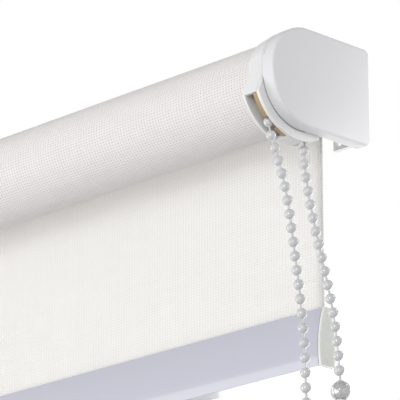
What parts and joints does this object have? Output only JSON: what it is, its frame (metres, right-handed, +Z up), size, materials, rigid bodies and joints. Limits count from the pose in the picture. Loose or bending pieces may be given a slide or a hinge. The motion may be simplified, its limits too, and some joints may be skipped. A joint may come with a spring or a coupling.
{
  "type": "roller blind",
  "caption": "Wall-mounted roller blind: cloth wound on a tube between two covered brackets, worked by an endless bead chain, with a weighted bottom rail.",
  "frame": {"origin": "middle of the four wall screw holes, on the wall plane, at the height of the roller's axis", "axes": "+X along the roller towards the chain end, +Y into the wall, +Z up; the room is at -Y"},
  "size_m": [0.4862, 0.0584, 0.2852],
  "materials": {
    "white_plastic": "moulded, satin",
    "bearing_plastic": "moulded acetal",
    "bracket_steel": "white powder coat on bent sheet steel",
    "bright_steel": "zinc plated",
    "tube_aluminium": "mill finish extrusion",
    "rail_aluminium": "pale satin coating on extruded aluminium",
    "rail_cap_plastic": "milky translucent moulding",
    "blind_cloth": "coarse plain weave, lets light through",
    "tape_film": "double-sided tape",
    "chain_plastic": "moulded beads on a cord",
    "clear_plastic": "clear moulded connector"
  },
  "bodies": {
    "root": {"control_bracket": "bracket_steel", "idle_bracket": "bracket_steel", "clutch_hub": "bearing_plastic", "hub_screws": "bright_steel", "hub_washer": "bright_steel", "hub_end_screw": "bright_steel", "guard_outer": "white_plastic", "guard_liner": "bearing_plastic", "guard_inner": "white_plastic", "idle_bush": "bearing_plastic", "bead_chain": "chain_plastic", "chain_connector": "clear_plastic", "cloth_sheet": "blind_cloth"},
    "roller": {"roller_tube": "tube_aluminium", "cloth_tape": "tape_film", "cloth_roll": "blind_cloth", "drive_sleeve": "bearing_plastic", "idle_plug": "bearing_plastic", "spring_stop": "bearing_plastic", "idle_pin_spring": "bright_steel"},
    "wheel": {"chain_wheel": "bearing_plastic", "clutch_spring_outer": "bright_steel", "clutch_spring_inner": "bright_steel"},
    "rail": {"bottom_rail": "rail_aluminium", "rail_rod": "bearing_plastic", "rail_cap_control": "rail_cap_plastic", "rail_cap_idle": "rail_cap_plastic"},
    "pin": {"idle_pin": "bright_steel"},
    "control_cap": {"control_cover": "white_plastic"},
    "idle_cap": {"idle_cover": "white_plastic"}
  },
  "joints": [
    {"name": "roller_spin", "type": "hinge", "parent": "root", "child": "roller", "pos_m": [0, -0.0355, 0], "axis": [-1, 0, 0], "range_deg": [-150, 1200]},
    {"name": "wheel_spin", "type": "hinge", "parent": "root", "child": "wheel", "pos_m": [0.2268, -0.0355, 0], "axis": [-1, 0, 0], "range_deg": [-151, 1201]},
    {"name": "rail_lift", "type": "slide", "parent": "root", "child": "rail", "axis": [0, 0, -1], "range_m": [-0.0495, 0.3925], "deforming": ["cloth_sheet"]},
    {"name": "idle_pin_push", "type": "slide", "parent": "roller", "child": "pin", "axis": [1, 0, 0], "range_m": [0, 0.006], "stiffness_N_per_m": 1500, "springref_m": -0.004, "deforming": ["idle_pin_spring"]},
    {"name": "control_cover_pull", "type": "slide", "parent": "root", "child": "control_cap", "axis": [1, 0, 0], "range_m": [0, 0.02]},
    {"name": "idle_cover_pull", "type": "slide", "parent": "root", "child": "idle_cap", "axis": [-1, 0, 0], "range_m": [0, 0.02]}
  ],
  "couplings": [
    {"joint": "wheel_spin", "follows": "roller_spin", "ratio": 1},
    {"joint": "rail_lift", "follows": "roller_spin", "m_per_rad": 0.0187}
  ]
}
